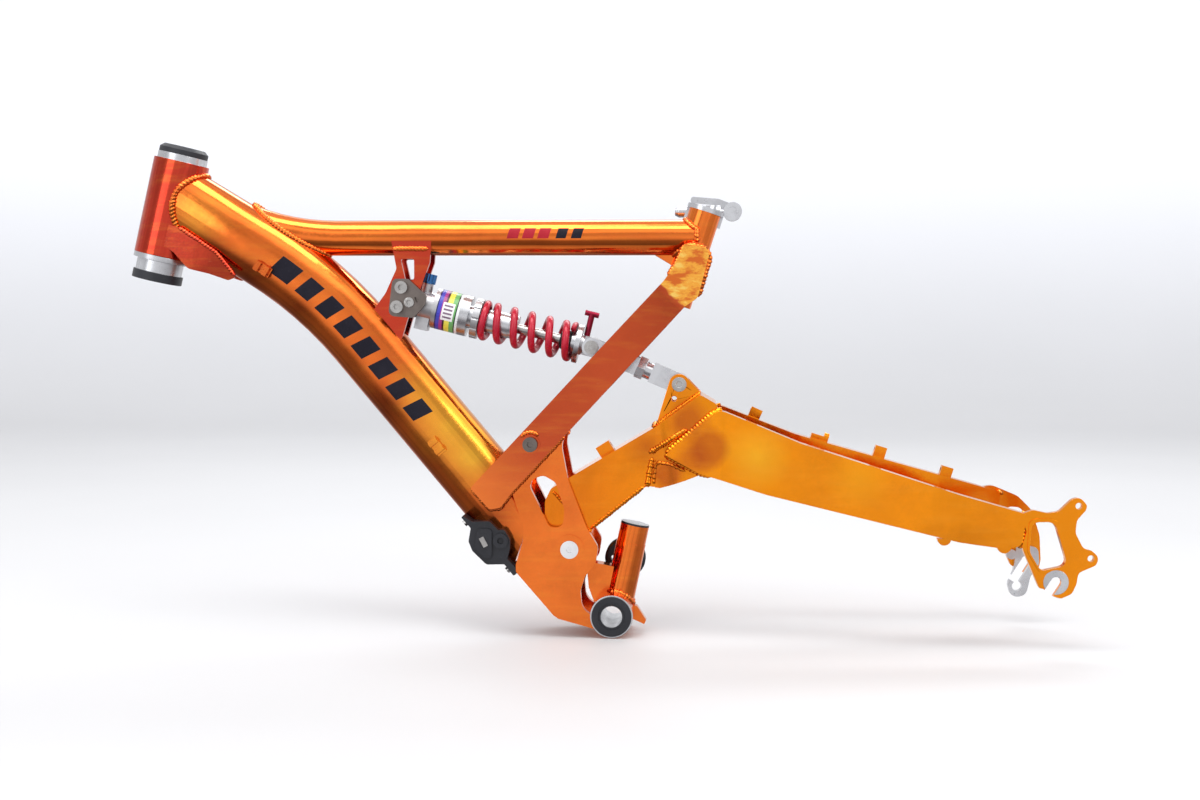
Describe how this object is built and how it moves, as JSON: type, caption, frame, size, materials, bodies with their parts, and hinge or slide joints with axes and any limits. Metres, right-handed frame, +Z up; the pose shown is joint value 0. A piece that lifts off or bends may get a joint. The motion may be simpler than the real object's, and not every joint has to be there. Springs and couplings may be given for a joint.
{
  "type": "bicycle frame",
  "caption": "Full-suspension mountain bike frame with a bent down tube, twin seat struts, sprung swingarm, coil shock and slotted dropouts in orange anodised metal.",
  "frame": {"origin": "centre of the bottom bracket shell, on the frame's mid plane", "axes": "+X rearward to the dropouts, +Y towards the drive side along the bottom bracket axis, +Z up, with the frame standing nose down as in the picture"},
  "size_m": [0.9409, 0.1511, 0.4868],
  "materials": {
    "orange_anodised": "glossy orange anodised aluminium with bare weld beads in the same colour",
    "red_anodised": "glossy deep orange-red anodised aluminium",
    "gold_anodised": "glossy golden orange anodised aluminium",
    "bare_aluminium": "machined and polished bare aluminium",
    "steel": "plated steel",
    "grey_aluminium": "grey cast and anodised aluminium",
    "black_plastic": "satin black plastic",
    "black_rubber": "matte black elastomer",
    "red_spring": "glossy red powder-coated spring steel",
    "blue_knob": "blue anodised aluminium",
    "maroon_knob": "maroon anodised aluminium"
  },
  "bodies": {
    "front_frame": {"head_tube": "red_anodised", "down_tube": "orange_anodised", "top_tube": "orange_anodised", "head_gusset": "red_anodised", "seat_tube": "orange_anodised", "seat_strut_left": "orange_anodised", "seat_strut_right": "orange_anodised", "pivot_plate_left": "orange_anodised", "pivot_plate_right": "orange_anodised", "plate_bridge": "orange_anodised", "shock_bracket_left": "orange_anodised", "shock_bracket_right": "orange_anodised", "bb_shell": "orange_anodised", "derailleur_stub": "orange_anodised", "stub_plug": "bare_aluminium", "bb_cups": "black_plastic", "bb_sleeve": "bare_aluminium", "headset_cup_upper": "bare_aluminium", "headset_cup_lower": "bare_aluminium", "headset_cap": "black_plastic", "crown_race": "black_plastic", "seat_collar": "bare_aluminium", "qr_skewer": "bare_aluminium", "frame_guides": "orange_anodised", "guide_block": "black_plastic", "frame_bolts": "steel", "pivot_axle": "steel", "pivot_caps": "steel", "roller_bolt": "steel", "clamp_plates": "grey_aluminium", "clamp_bolts": "steel", "shock_pin": "steel"},
    "swingarm": {"swingarm_neck": "gold_anodised", "swingarm_yoke": "gold_anodised", "ear_plates": "gold_anodised", "ear_bolt": "steel", "arm_left": "gold_anodised", "arm_right": "gold_anodised", "dropout_left": "gold_anodised", "dropout_right": "gold_anodised", "axle_inserts": "bare_aluminium", "derailleur_hanger": "bare_aluminium", "arm_guides": "gold_anodised", "pivot_bearings": "steel"},
    "shock_body": {"shock_head": "grey_aluminium", "shock_cylinder": "bare_aluminium", "preload_collar": "grey_aluminium"},
    "shock_shaft": {"damper_shaft": "steel", "bump_stop": "black_rubber", "spring_retainer": "bare_aluminium", "shock_eye": "grey_aluminium", "link_clevis": "bare_aluminium", "eye_bolt": "steel", "jam_nut": "bare_aluminium", "rod_end": "bare_aluminium", "coil_spring": "red_spring"},
    "adjuster": {"adjuster_knob": "blue_knob"},
    "lockout": {"lockout_knob": "maroon_knob"},
    "seat_lever": {"qr_lever": "bare_aluminium"},
    "roller": {"chain_roller": "black_plastic"}
  },
  "joints": [
    {"name": "main_pivot", "type": "hinge", "parent": "front_frame", "child": "swingarm", "pos_m": [-0.041, 0, 0.066], "axis": [0, -1, 0], "range_deg": [0, 12.5], "stiffness_Nm_per_rad": 3100, "springref_deg": -1.72},
    {"name": "shock_pivot", "type": "hinge", "parent": "front_frame", "child": "shock_body", "pos_m": [-0.2, 0, 0.3067], "axis": [0, -1, 0], "range_deg": [0, 2.6]},
    {"name": "shock_stroke", "type": "slide", "parent": "shock_body", "child": "shock_shaft", "axis": [-0.971, 0, 0.239], "range_m": [0, 0.0412], "deforming": ["coil_spring"]},
    {"name": "adjuster_turn", "type": "hinge", "parent": "shock_body", "child": "adjuster", "pos_m": [-0.18406, 0, 0.32543], "axis": [0.239, 0, 0.971], "range_deg": [0, 300]},
    {"name": "lockout_turn", "type": "hinge", "parent": "shock_shaft", "child": "lockout", "pos_m": [-0.02742, 0, 0.26938], "axis": [0.239, 0, 0.971], "range_deg": [0, 90]},
    {"name": "seat_lever_turn", "type": "hinge", "parent": "front_frame", "child": "seat_lever", "pos_m": [0.1174, 0.021, 0.3967], "axis": [0, 1, 0], "range_deg": [0, 140]},
    {"name": "roller_spin", "type": "hinge", "parent": "front_frame", "child": "roller", "pos_m": [0.011, 0.028, 0.049], "axis": [0, 1, 0], "continuous": true}
  ],
  "couplings": [
    {"joint": "shock_stroke", "follows": "main_pivot", "m_per_rad": 0.188},
    {"joint": "shock_pivot", "follows": "main_pivot", "ratio": 0.198}
  ]
}
